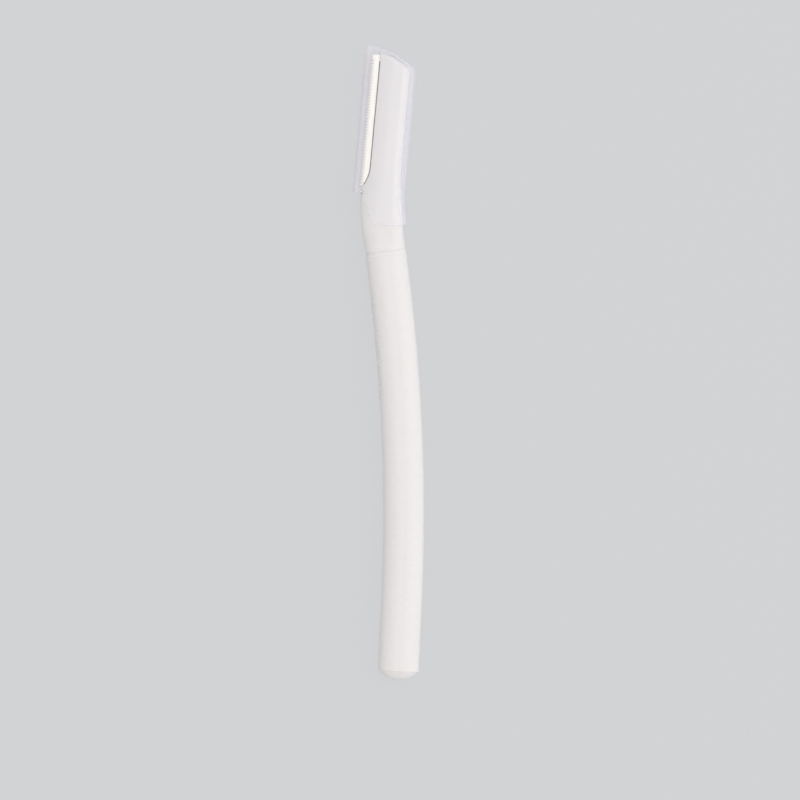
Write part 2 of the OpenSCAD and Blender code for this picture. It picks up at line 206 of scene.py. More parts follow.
@dataclass(frozen=True)
class Section:
    """A rounded section with a flat strip on each broad face.

    Args:
        left: Reach to the left of its thickest line.
        right: Reach to the right.
        half: Half the thickness.
        left_blunt: Power of the left side's curve, 2 for an ellipse.
        right_blunt: Power of the right side's curve.
        land: Half the width of the flat strips.
    """

    left: float
    right: float
    half: float
    left_blunt: float = 2.3
    right_blunt: float = 2.3
    land: float = 0.9

    def at(self, angle: float) -> Pair:
        """Finds the point of the outline at an angle.

        Args:
            angle: The angle from the right side over the front, in radians.

        Returns:
            Its place across and its height.
        """
        c, s = math.cos(angle), math.sin(angle)
        blunt = self.right_blunt if c >= 0 else self.left_blunt
        reach = self.right if c >= 0 else self.left
        x = self.land + (reach - self.land) * abs(c) ** (2 / blunt)
        z = self.half * abs(s) ** (2 / blunt)
        return (math.copysign(x, c), math.copysign(z, s))

    def arc(self, start: float, stop: float, count: int) -> list[Pair]:
        """Returns points of the outline between two angles in degrees."""
        return [self.at(math.radians(mix(start, stop, t))) for t in steps(count)]

    def ring(self, count: int) -> list[Pair]:
        """Returns points all round the outline."""
        return [self.at(math.tau * k / count) for k in range(count)]


class Ends(Enum):
    """How the two ends of a skin are closed."""

    LADDER = "rungs from each point to the one that faces it across the ring"
    FAN = "one flat face"


@dataclass
class Skin:
    """Joins rings of equal length into one mesh.

    Args:
        name: Name of the piece.
        rings: The rings, each a closed loop of points in the frame's metres.
        marks: For each ring, a value at each of its points, or nothing.
        mark_name: Name of the attribute that holds the marks.
    """

    name: str
    rings: list[Ring] = field(default_factory=list)
    marks: list[list[float]] = field(default_factory=list)
    mark_name: str = "mark"

    def add(self, ring: Ring, marks: Sequence[float] = ()) -> None:
        """Adds one ring.

        Args:
            ring: The ring.
            marks: The marks of its points, if it has any.
        """
        self.rings.append(ring)
        if marks:
            self.marks.append(list(marks))

    def build(self, first: Ends, last: Ends, shift: int = 0) -> Object:
        """Makes the object.

        Args:
            first: How the first ring is closed.
            last: How the last ring is closed.
            shift: How far the ladder's pairing is turned round the ring.

        Returns:
            The linked object, with outward faces and smooth shading up to its sharp edges.
        """
        shape = bmesh.new()
        layer = shape.verts.layers.float.new(self.mark_name) if self.marks else None
        rows = [[shape.verts.new(point) for point in ring] for ring in self.rings]
        for row, marks in zip(rows, self.marks):
            for point, mark in zip(row, marks):
                point[layer] = mark
        for low, high in zip(rows, rows[1:]):
            bridge(shape, low, high)
        for row, ends in ((rows[0], first), (rows[-1], last)):
            if ends is Ends.FAN:
                shape.faces.new(row)
            elif ends is Ends.LADDER:
                self._ladder(shape, row, shift)
        return finish_mesh(self.name, shape)

    @staticmethod
    def _ladder(shape: bmesh.types.BMesh, row: Verts, shift: int) -> None:
        """Closes a ring with a face between each pair of neighbours and the pair across it.

        Args:
            shape: The shape that holds the ring.
            row: The ring.
            shift: How far the pairing is turned round it.
        """
        n = len(row)
        for i in range((n + 1) // 2):
            corners = [row[k % n] for k in (i, i + 1, shift - i - 1, shift - i)]
            face = list(dict.fromkeys(corners))
            if len(face) > 2 and not shape.faces.get(face):
                shape.faces.new(face)


def bridge(shape: bmesh.types.BMesh, low: Verts, high: Verts, skip: Sequence[int] = ()) -> None:
    """Joins two closed rows of points with faces.

    Args:
        shape: The shape that holds both.
        low: The first row.
        high: The second row.
        skip: Places along the rows that get no face.
    """
    for i in range(len(low)):
        if i not in skip:
            j = (i + 1) % len(low)
            shape.faces.new((low[i], low[j], high[j], high[i]))


def link_mesh(name: str, shape: bmesh.types.BMesh) -> Object:
    """Turns a shape into a linked object.

    Args:
        name: Name of the object.
        shape: The shape, which is freed.

    Returns:
        The object.
    """
    mesh = bpy.data.meshes.new(name)
    shape.to_mesh(mesh)
    shape.free()
    piece = bpy.data.objects.new(name, mesh)
    bpy.context.scene.collection.objects.link(piece)
    return piece


def finish_mesh(name: str, shape: bmesh.types.BMesh) -> Object:
    """Turns a shape into a linked object with outward faces and smooth shading.

    Args:
        name: Name of the object.
        shape: The finished shape, which is freed.

    Returns:
        The object.
    """
    bmesh.ops.remove_doubles(shape, verts=shape.verts, dist=1e-8)
    bmesh.ops.recalc_face_normals(shape, faces=shape.faces)
    piece = link_mesh(name, shape)
    smooth(piece.data)
    return piece


def smooth(mesh: Mesh) -> None:
    """Shades a mesh smooth up to its sharp edges.

    Args:
        mesh: The mesh.
    """
    mesh.polygons.foreach_set("use_smooth", [True] * len(mesh.polygons))
    mesh.set_sharp_from_angle(angle=math.radians(SHARP))
    mesh.update()


def settle(piece: Object) -> Object:
    """Applies an object's modifiers to its mesh.

    Args:
        piece: The object.

    Returns:
        The same object.
    """
    graph = bpy.context.evaluated_depsgraph_get()
    done = bpy.data.meshes.new_from_object(piece.evaluated_get(graph))
    piece.modifiers.clear()
    piece.data = done
    smooth(done)
    return piece


def carve(piece: Object, tool: Object, how: str = "DIFFERENCE") -> None:
    """Cuts a piece with a tool, or joins the two.

    Args:
        piece: The piece.
        tool: The tool, which is removed.
        how: The operation, DIFFERENCE, INTERSECT or UNION.
    """
    cut = piece.modifiers.new("Cut", "BOOLEAN")
    cut.operation = how
    cut.solver = "MANIFOLD"
    cut.object = tool
    settle(piece)
    bpy.data.objects.remove(tool)


# Node trees


def feed(node: Node, inputs: Inputs) -> Node:
    """Sets the inputs of a node.

    Args:
        node: The node.
        inputs: For each input, by name or number, a socket or a node that feeds it, or its value.

    Returns:
        The same node.
    """
    for key, value in inputs.items():
        if isinstance(value, Node):
            value = value.outputs[0]
        if isinstance(value, NodeSocket):
            node.id_data.links.new(value, node.inputs[key])
        else:
            node.inputs[key].default_value = value
    return node


def add_node(nodes: Nodes, kind: str, inputs: Inputs | None = None, **settings: str) -> Node:
    """Adds a node to a tree.

    Args:
        nodes: The tree's nodes.
        kind: Type of the node.
        inputs: What feed takes.
        **settings: The node's own settings.

    Returns:
        The node.
    """
    node = nodes.new(kind)
    for name, value in settings.items():
        setattr(node, name, value)
    return feed(node, inputs or {})


def add_math(nodes: Nodes, operation: str, first: object, second: object) -> Node:
    """Adds a node that works out a number from two."""
    return add_node(nodes, "ShaderNodeMath", {0: first, 1: second}, operation=operation)


def add_range(nodes: Nodes, value: object, taken: Pair, given: Pair,
              course: str = "LINEAR") -> Node:
    """Adds a node that brings a number from one span to another.

    Args:
        nodes: The tree's nodes.
        value: The number's socket or node.
        taken: The span that it comes from, past which it is held.
        given: The span that it is brought to.
        course: Name of the curve between the ends.

    Returns:
        The node.
    """
    spans = dict(zip(("From Min", "From Max", "To Min", "To Max"), (*taken, *given)))
    return add_node(nodes, "ShaderNodeMapRange", {"Value": value, **spans},
                    interpolation_type=course)


def add_sight(nodes: Nodes) -> Node:
    """Adds a mask of the rays that show a backdrop: the camera's, and those off metal and glass.

    Args:
        nodes: The tree's nodes.

    Returns:
        The node, which gives 1 for them and 0 for the others.
    """
    rays = add_node(nodes, "ShaderNodeLightPath").outputs
    indirect = add_math(nodes, "MAXIMUM", rays["Is Glossy Ray"], rays["Is Transmission Ray"])
    return add_math(nodes, "MAXIMUM", rays["Is Camera Ray"], indirect)


def add_tint(nodes: Nodes, share: object, own: NodeSocket, colour: Triple) -> NodeSocket:
    """Adds a node that lays a colour over a surface's own.

    Args:
        nodes: The material's nodes.
        share: The socket or node that gives the share of the colour, from 0 to 1.
        own: The socket that gives the surface's own colour.
        colour: The colour.

    Returns:
        The socket that gives both.
    """
    blend = add_node(nodes, "ShaderNodeMix", {0: share, 6: own, 7: (*colour, 1.0)},
                     data_type="RGBA")
    return blend.outputs[2]


def find_node(nodes: Nodes, kind: str) -> Node:
    """Returns the tree's node of a type."""
    return next(node for node in nodes if node.type == kind)


# Repeated shapes


@dataclass(frozen=True)
class Row:
    """A row of copies, along a line or round a centre.

    Args:
        name: Name of the Geometry Nodes tree.
        count: Number of copies.
        first: Place of the first copy, in metres.
        pitch: Way from one copy to the next, in metres.
        first_turn: Turn of the first copy about the vertical, in radians.
        turn_step: Turn from one copy to the next, in radians.
        weld: Distance within which points of neighbouring copies join, in metres.
    """

    name: str
    count: int
    first: Vector
    pitch: Vector
    first_turn: float
    turn_step: float
    weld: float = 1e-7

    def copy_along(self, shape: Object, finish: Material) -> Object:
        """Repeats a shape with a Geometry Nodes tree and turns the result into a plain mesh.

        Args:
            shape: The object whose mesh is repeated; it becomes the whole row.
            finish: The material of the copies.

        Returns:
            The same object, with the whole row in its mesh.
        """
        tree = bpy.data.node_groups.new(self.name, "GeometryNodeTree")
        nodes, sockets = tree.nodes, tree.interface
        sockets.new_socket(name="Shape", in_out="INPUT", socket_type="NodeSocketGeometry")
        repeat = shape.modifiers.new(self.name, "NODES")
        settings = (
            ("Count", "NodeSocketInt", self.count),
            ("First place", "NodeSocketVector", tuple(self.first)),
            ("Pitch", "NodeSocketVector", tuple(self.pitch)),
            ("First turn", "NodeSocketFloat", self.first_turn),
            ("Turn step", "NodeSocketFloat", self.turn_step),
            ("Weld distance", "NodeSocketFloat", self.weld),
            ("Finish", "NodeSocketMaterial", finish),
        )
        keys = [sockets.new_socket(name=label, in_out="INPUT", socket_type=kind).identifier
                for label, kind, _ in settings]
        sockets.new_socket(name="Row", in_out="OUTPUT", socket_type="NodeSocketGeometry")
        given = add_node(nodes, "NodeGroupInput").outputs
        index = add_node(nodes, "GeometryNodeInputIndex")
        along = add_node(nodes, "ShaderNodeVectorMath", {0: given["Pitch"], "Scale": index},
                         operation="SCALE")
        place = add_node(nodes, "ShaderNodeVectorMath", {0: given["First place"], 1: along},
                         operation="ADD")
        turned = add_math(nodes, "MULTIPLY", given["Turn step"], index)
        turn = add_math(nodes, "ADD", given["First turn"], turned)
        upright = add_node(nodes, "ShaderNodeCombineXYZ", {"Z": turn})
        points = add_node(nodes, "GeometryNodePoints", {"Count": given["Count"], "Position": place})
        copies = add_node(nodes, "GeometryNodeInstanceOnPoints",
                          {"Points": points, "Instance": given["Shape"], "Rotation": upright})
        real = add_node(nodes, "GeometryNodeRealizeInstances", {0: copies})
        weld = add_node(nodes, "GeometryNodeMergeByDistance",
                        {"Geometry": real, "Distance": given["Weld distance"]})
        dressed = add_node(nodes, "GeometryNodeSetMaterial",
                           {"Geometry": weld, "Material": given["Finish"]})
        add_node(nodes, "NodeGroupOutput", {0: dressed})
        repeat.node_group = tree
        for key, (_, _, value) in zip(keys, settings):
            repeat[key] = value
        return settle(shape)


# Finishes


@dataclass(frozen=True)
class Grain:
    """A fine noise that varies a surface.

    Args:
        scale: Noise scale over object coordinates.
        stretch: Factors that stretch the noise along the row's axes.
        depth: Strength of its bump.
        gloss: How far the noise moves the roughness either way.
        detail: Octaves of the noise.
        relief: Height of the bump, in millimetres.
    """

    scale: float
    stretch: Triple = (1.0, 1.0, 1.0)
    depth: float = 0.05
    gloss: float = 0.04
    detail: float = 3.0
    relief: float = 0.05


@dataclass(frozen=True)
class Finish:
    """A surface of two colours mottled by a fine noise, which also moves its gloss and bump.

    Args:
        name: Name of the material.
        base: Main colour, linear.
        second: Colour that the mottling leans to, linear.
        roughness: Mean roughness.
        grain: The noise.
    """

    name: str
    base: Triple
    second: Triple
    roughness: float
    grain: Grain

    def make(self) -> Material:
        """Builds the material.

        Returns:
            The material, whose colour, gloss and bump follow one noise.
        """
        material = bpy.data.materials.new(self.name)
        material.use_nodes = True
        nodes, grain = material.node_tree.nodes, self.grain
        where = add_node(nodes, "ShaderNodeTexCoord").outputs["Object"]
        mapping = add_node(nodes, "ShaderNodeMapping", {"Vector": where, "Scale": grain.stretch})
        noise = add_node(nodes, "ShaderNodeTexNoise",
                         {"Vector": mapping, "Scale": grain.scale, "Detail": grain.detail})
        gloss = (self.roughness - grain.gloss, self.roughness + grain.gloss)
        bump = add_node(nodes, "ShaderNodeBump", {
            "Height": noise, "Strength": grain.depth, "Distance": grain.relief * MM})
        feed(find_node(nodes, "BSDF_PRINCIPLED"), {
            "Base Color": self.colour(nodes, noise),
            "Roughness": add_range(nodes, noise, NOISE_SPAN, gloss),
            "Normal": bump,
            **self.details(nodes),
        })
        return material

    def colour(self, nodes: Nodes, noise: Node) -> NodeSocket:
        """Adds the surface's colour.

        Args:
            nodes: The material's nodes.
            noise: The noise that it follows.

        Returns:
            The socket that gives it.
        """
        ramp = add_node(nodes, "ShaderNodeValToRGB", {0: noise})
        colours = zip(ramp.color_ramp.elements, NOISE_SPAN, (self.base, self.second))
        for stop, position, colour in colours:
            stop.position, stop.color = position, (*colour, 1.0)
        return ramp.outputs[0]

    def details(self, nodes: Nodes) -> Inputs:
        """Returns what else this kind of surface sets in its shader."""
        return {}


@dataclass(frozen=True)
class Plastic(Finish):
    """A moulded plastic.

    Args:
        specular: Specular level.
        milk: Weight of the light that scatters below the surface.
        depth: Depth to which it goes, in millimetres.
        scatter: Shares of that depth for red, green and blue.
    """

    specular: float
    milk: float
    depth: float = 1.2
    scatter: Triple = (0.6, 0.5, 0.4)

    def details(self, nodes: Nodes) -> Inputs:
        """Returns what else this kind of surface sets in its shader."""
        return {"Specular IOR Level": self.specular, "Subsurface Weight": self.milk,
                "Subsurface Radius": self.scatter, "Subsurface Scale": self.depth * MM}


@dataclass(frozen=True)
class Steel(Finish):
    """A strip steel, whose noise is stretched along its rolling or grinding marks."""

    def details(self, nodes: Nodes) -> Inputs:
        """Returns what else this kind of surface sets in its shader."""
        return {"Metallic": 1.0}


@dataclass(frozen=True)
class GroundSteel(Steel):
    """A ground strip steel, darkened in part as painted shade, with a painted highlight along its
    cutting edge.

    Args:
        edge_u: Distance of the cutting edge from the head's axis, in millimetres.
        highlight_w: Width of the painted highlight along the cutting edge, in millimetres.
        painted_highlight: Colour of the painted highlight, linear.
        blur: Share of its width over which it fades.
    """

    edge_u: float
    highlight_w: float
    painted_highlight: Triple
    blur: float = 0.2

    def colour(self, nodes: Nodes, noise: Node) -> NodeSocket:
        """Adds the ground surface's colour, and the painted highlight along the cutting edge.

        Args:
            nodes: The material's nodes.
            noise: The noise that the ground surface follows.

        Returns:
            The socket that gives the colour.
        """
        plan = Plan()
        axis, tilt = plan.on_head(0.0, 0.0, 0.0), plan.head_tilt
        shift = (axis.y * math.sin(tilt) - axis.x * math.cos(tilt), 0.0, 0.0)
        where = add_node(nodes, "ShaderNodeTexCoord").outputs["Object"]
        across = add_node(nodes, "ShaderNodeMapping",
                          {"Vector": where, "Rotation": (0.0, 0.0, tilt), "Location": shift})
        split = add_node(nodes, "ShaderNodeSeparateXYZ", {0: across})
        border = ((self.highlight_w * (1 - self.blur) - self.edge_u) * MM,
                  (self.highlight_w - self.edge_u) * MM)
        # Painted highlight: a bright band along the cutting edge, laid over the steel's own colour.
        painted_highlight = add_range(nodes, split.outputs["X"], border, (1.0, 0.0))
        return add_tint(nodes, painted_highlight, super().colour(nodes, noise), self.painted_highlight)


@dataclass(frozen=True)
class Frosted(Finish):
    """A thin frosted plastic that lets most light straight through and looks denser edge on.

    Args:
        face: Opacity of the outer surface seen square on.
        edge: Opacity of the outer surface seen on a slant.
        solid: Opacity where no hollow lies behind the surface, only plastic.
        inner: Share of its opacity that the inner surface keeps.
        lost: Share of that opacity which dims what lies behind, because the rest scatters forward.
        fin_shade: Painted shade on the fin's solid edge, the side away from the light, linear.
        slant: Values of the layer weight between which the outer surface grows denser.
    """

    face: float
    edge: float
    solid: float
    inner: float
    lost: float
    fin_shade: Triple
    slant: Pair = (0.08, 0.28)

    def wall(self, nodes: Nodes) -> NodeSocket:
        """Adds the mark that tells what lies under the surface."""
        return add_node(nodes, "ShaderNodeAttribute", attribute_name=WALL_MARK).outputs["Fac"]

    def colour(self, nodes: Nodes, noise: Node) -> NodeSocket:
        """Adds the plastic's colour, and painted shade along the fin's solid edge.

        Args:
            nodes: The material's nodes.
            noise: The noise that the plastic follows.

        Returns:
            The socket that gives the colour.
        """
        # Painted shade: the fin's solid edge, on the side away from the light, is tinted darker.
        fin_shade_share = add_range(nodes, self.wall(nodes), (OVER_SOLID, FIN_EDGE), (0.0, 1.0))
        return add_tint(nodes, fin_shade_share, super().colour(nodes, noise), self.fin_shade)

    def details(self, nodes: Nodes) -> Inputs:
        """Adds the surface's opacity.

        Args:
            nodes: The material's nodes.

        Returns:
            The node that feeds it, by the name of the shader's input.
        """
        wall = self.wall(nodes)
        facing = add_node(nodes, "ShaderNodeLayerWeight", {"Blend": 0.5}).outputs["Facing"]
        ray = add_node(nodes, "ShaderNodeLightPath").outputs["Is Camera Ray"]
        opacity = add_range(nodes, facing, self.slant, (self.face, self.edge), "SMOOTHSTEP")
        solid = add_range(nodes, wall, (OVER_HOLLOW, OVER_SOLID), (0.0, self.solid))
        outer = add_range(nodes, wall, (ON_HOLLOW, OVER_HOLLOW), (self.inner, 1.0))
        kept = add_range(nodes, ray, (0.0, 1.0), (self.lost, 1.0))
        side = add_math(nodes, "MULTIPLY", add_math(nodes, "MAXIMUM", opacity, solid), outer)
        return {"Alpha": add_math(nodes, "MULTIPLY", side, kept)}


HANDLE_FINISH = Plastic(
    "handle_plastic", base=(0.775, 0.747, 0.74), second=(0.795, 0.766, 0.758), roughness=0.42,
    grain=Grain(900.0), specular=0.42, milk=0.12)
HEAD_FINISH = Plastic(
    "head_plastic", base=(0.775, 0.75, 0.745), second=(0.795, 0.77, 0.765), roughness=0.4,
    grain=Grain(900.0), specular=0.42, milk=0.12)
CAP_FINISH = Frosted(
    "cap_plastic", base=(0.835, 0.81, 0.88), second=(0.865, 0.84, 0.91), roughness=0.3,
    grain=Grain(1400.0, depth=0.03), face=0.15, edge=0.53, solid=0.5, inner=0.15, lost=0.25,
    fin_shade=(0.78, 0.73, 0.78))
GUARD_FINISH = Steel(
    "guard_steel", base=(0.96, 0.92, 0.845), second=(0.92, 0.88, 0.805), roughness=0.32,
    grain=Grain(700.0, (6.0, 0.4, 1.0)))
# The blade's dark colour is partly painted shade: it makes the gap beside the guard and the guard's
# slots look dark where the steel lies in shade.
BLADE_FINISH = GroundSteel(
    "blade_steel", base=(0.25, 0.225, 0.205), second=(0.2, 0.18, 0.165), roughness=0.3,
    grain=Grain(900.0, (0.5, 8.0, 1.0), 0.08), edge_u=7.45, highlight_w=0.5, painted_highlight=(0.85, 0.83, 0.80))


def dress(piece: Object, material: Material, body: str, slot: str, *nodes: str) -> None:
    """Gives a finished piece its material and its body, and hides the CAD nodes that it stands for.

    Args:
        piece: The piece.
        material: Its material.
        body: The body that it rides on.
        slot: Not used.
        *nodes: The CAD nodes that it stands for.
    """
    piece.data.materials.clear()
    piece.data.materials.append(material)
    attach(piece, body)
    if nodes:
        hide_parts(*nodes)
    log.info("%s: %d faces on body %s", piece.name, len(piece.data.polygons), body)


# The handle


@dataclass
class Handle:
    """The bowed handle: two shells, the grip ribs on its edge and the domed end cap.

    Args:
        plan: Where the centreline lies.
        wall: Wall of the shells.
        seam: Depth of the fine groove along the parting line.
        edge_r: Radius of the rounded edges at both ends of the shells.
        bead_w: Width of the bead at the mouth.
        groove_w: Width of the groove below it.
        groove_d: Depth of that groove.
        rib_count: Number of grip ribs.
        rib_pitch: Distance from one rib to the next.
        rib_w: Width of a rib.
        rib_h: Height of a rib.
        rib_root: Depth from which a rib rises out of the shells.
        rib_base: Depth of its underside in them.
        rib_crown: Power of the curve across a rib.
        rib_fade: Share of half a rib over which its end runs out.
        rib_drop: Distance from the mouth to the first rib.
        rib_span: Angle of the section from the edge to a rib's end, in degrees.
        dome_r: Radius of the end cap's dome.
        dome_step: Step from the shells to the dome.
        plug_len: Length of the end cap's plug.
        snap: Start, width and height of the snap ridge round the plug.
        chamfer: Chamfer at its end.
        fit_gap: Clearance of the plug in the shells.
        blunt: Power of the section's curve.
        land: Half the width of its flat strips.
        parting: Angle from the parting line to the shell's first point, in degrees.
        along: Steps along the shells.
        across: Steps over a shell's half of the section.
        round: Points round the end cap.
    """

    plan: Plan
    wall: float = 1.3
    seam: float = 0.07
    edge_r: float = 0.14
    bead_w: float = 0.95
    groove_w: float = 0.36
    groove_d: float = 0.06
    rib_count: int = 22
    rib_pitch: float = 1.33
    rib_w: float = 0.6
    rib_h: float = 0.17
    rib_root: float = 0.12
    rib_base: float = 0.3
    rib_crown: float = 0.7
    rib_fade: float = 0.25
    rib_drop: float = 8.0
    rib_span: float = 48.0
    dome_r: float = 6.2
    dome_step: float = 0.15
    plug_len: float = 5.0
    snap: Triple = (2.5, 0.9, 0.25)
    chamfer: float = 0.3
    fit_gap: float = 0.05
    blunt: float = 2.22
    land: float = 0.4
    parting: float = 1.2
    along: int = 104
    across: int = 72
    round: int = 96

    def section(self, inset: float) -> Section:
        """Returns the handle's section drawn in by a depth."""
        w, t = self.plan.handle_w / 2 - inset, self.plan.half_t - inset
        return Section(w, w, t, self.blunt, self.blunt, self.land)

    def stations(self) -> list[Pair]:
        """Lists the stations along the shells.

        Returns:
            Distances along the centreline, each with the depth that the outline is drawn in.
        """
        total, r = self.plan.handle_len, self.edge_r
        groove = total - self.bead_w - self.groove_w / 2
        turned = [math.radians(90 * t) for t in steps(5)]
        runs = [(r * (1 - math.cos(a)), r * (1 - math.sin(a))) for a in turned]
        span = groove - self.groove_w / 2 - r
        runs += [(r + span * t, 0.0) for t in steps(self.along)[1:]]
        runs += [(groove + self.groove_w * (t - 0.5), self.groove_d * math.sin(math.pi * t) ** 2)
                 for t in steps(12)]
        runs += [(total - r * (1 - math.cos(a)), r * (1 - math.sin(a))) for a in reversed(turned)]
        return runs

    def shell(self, name: str, side: int) -> Object:
        """Makes half of the handle.

        Args:
            name: Name of the piece.
            side: 1 for the front half and -1 for the back half.

        Returns:
            The shell.
        """
        skin = Skin(name)
        for run, inset in self.stations():
            outer, inner = self.section(inset), self.section(self.wall)
            half = [(x, z * side)
                    for x, z in outer.arc(self.parting, 180 - self.parting, self.across)]
            lip = outer.right - self.seam
            loop = [(lip, 0.0)] + half + [(-lip, 0.0)]
            loop += [(x, z * side) for x, z in inner.arc(180, 0, self.across // 2)]
            skin.add([self.plan.on_handle(run, x, z) for x, z in loop])
        return skin.build(Ends.FAN, Ends.FAN)

    def ribs(self, material: Material) -> Object:
        """Makes the grip ribs on the blade's side, round the bow's centre.

        Args:
            material: Their material.

        Returns:
            The row of ribs.
        """
        skin = Skin("grip_ribs")
        along = [2 * s - 1 for s in steps(28)]
        for t in steps(10):
            swell = math.sin(math.pi * t) ** self.rib_crown if 0 < t < 1 else 0.0
            rise = (self.rib_h + self.rib_root) * swell
            ways = [(180 + self.rib_span * a,
                     self.rib_root - rise * min(1.0, (1 - abs(a)) / self.rib_fade)) for a in along]
            ways += [(180 - self.rib_span * a, self.rib_base) for a in along]
            ring = []
            for angle, inset in ways:
                x, z = self.section(inset).at(math.radians(angle))
                ring.append(Vector((self.plan.bow_r + x, self.rib_w * (0.5 - t), z)) * MM)
            skin.add(ring)
        rib = skin.build(Ends.LADDER, Ends.LADDER, shift=-1)
        turned = self.plan.turn - self.plan.lean
        first = turned - (self.rib_drop + self.rib_w / 2) / self.plan.bow_r
        row = Row("Grip rib row", self.rib_count, self.plan.row(self.plan.bow_centre, 0.0),
                  Vector((0, 0, 0)), first, -self.rib_pitch / self.plan.bow_r)
        return row.copy_along(rib, material)

    def end_cap(self) -> Object:
        """Makes the domed plug that closes the lower end.

        Returns:
            The end cap.
        """
        drop = self.dome_r - self.plan.dome_h
        base = math.sqrt(self.dome_r ** 2 - drop ** 2)
        low = math.acos(drop / self.dome_r)
        rings = []
        close_to_pole = [0.01, 0.06]
        for t in close_to_pole + steps(14)[2:]:
            x, y = self.dome_r * math.sin(low * t), self.dome_r * math.cos(low * t)
            rings.append(self._ring(self.dome_step, x / base, drop - y))
        inner = self.wall + self.fit_gap
        start, width, height = self.snap
        for y, inset in ((0.0, inner), (start, inner), (start + width / 3, inner - height),
                         (start + 2 * width / 3, inner - height), (start + width, inner),
                         (self.plug_len - self.chamfer, inner),
                         (self.plug_len, inner + self.chamfer)):
            rings.append(self._ring(inset, 1.0, y))
        return Skin("end_cap_dome", rings).build(Ends.FAN, Ends.FAN)

    def _ring(self, inset: float, size: float, run: float) -> Ring:
        """Returns a closed ring across the handle at a run along it."""
        points = self.section(inset).ring(self.round)
        return [self.plan.on_handle(run, x * size, z * size) for x, z in points]

    def build(self) -> None:
        """Makes and dresses every piece of the handle."""
        plastic = HANDLE_FINISH.make()
        for piece, *nodes in (
            (self.shell("front_shell", 1), "handle_front_shell"),
            (self.shell("back_shell", -1), "handle_back_shell"),
            (self.ribs(plastic),),
            (self.end_cap(), "end_cap"),
        ):
            dress(piece, plastic, RAZOR_BODY, "handle_plastic", *nodes)


# The head


@dataclass(frozen=True)
class Form:
    """A rounded form under the arched top: the head, or the cap's outer or inner surface.

    Args:
        fin: Reach towards the blade, from the head's axis.
        spine: Reach to the spine.
        half: Half the thickness.
        top_r: Radius of the top in plan.
        rounding: Radius of the rim.
        flare: How far a collar stands out from the spine at the mouth.
    """

    fin: float
    spine: float
    half: float
    top_r: float
    rounding: float
    flare: float = 0.0


@dataclass(frozen=True)
class Top:
    """The arched top that the head and the cap share.

    Args:
        u: Distance of the arc's centre from the head's axis, towards the blade.
        v: Height of the centre.
        rim_share: Share of a rim's rounding that both edges take in plan.
        ridge: Distance from the head's axis to the thickest line.
    """

    u: float = 10.45
    v: float = 30.0
    rim_share: float = 0.3
    ridge: float = 1.0

    def height(self, r: float, u: float) -> float:
        """Returns the height of an arc of a radius at a place across the head."""
        return self.v + math.sqrt(max(0.0, r * r - (u + self.u) ** 2))

    def rim_spot(self, form: Form, angle: float, turn: float) -> Triple:
        """Returns a point of a form's rim.

        Args:
            form: The form.
            angle: Angle of its section's points, in radians.
            turn: Turn round the rim in degrees, 90 where the top is reached.

        Returns:
            The point's place across the head, its height and its depth.
        """
        a = math.radians(turn)
        inset = form.rounding * (1 - math.cos(a))
        drawn = inset * self.rim_share
        section = Section(form.fin - drawn - self.ridge, form.spine - drawn + self.ridge,
                          form.half - inset, FIN_BLUNT, SPINE_BLUNT)
        x, z = section.at(angle)
        u = x - self.ridge
        return u, self.height(form.top_r - form.rounding * (1 - math.sin(a)), u), z


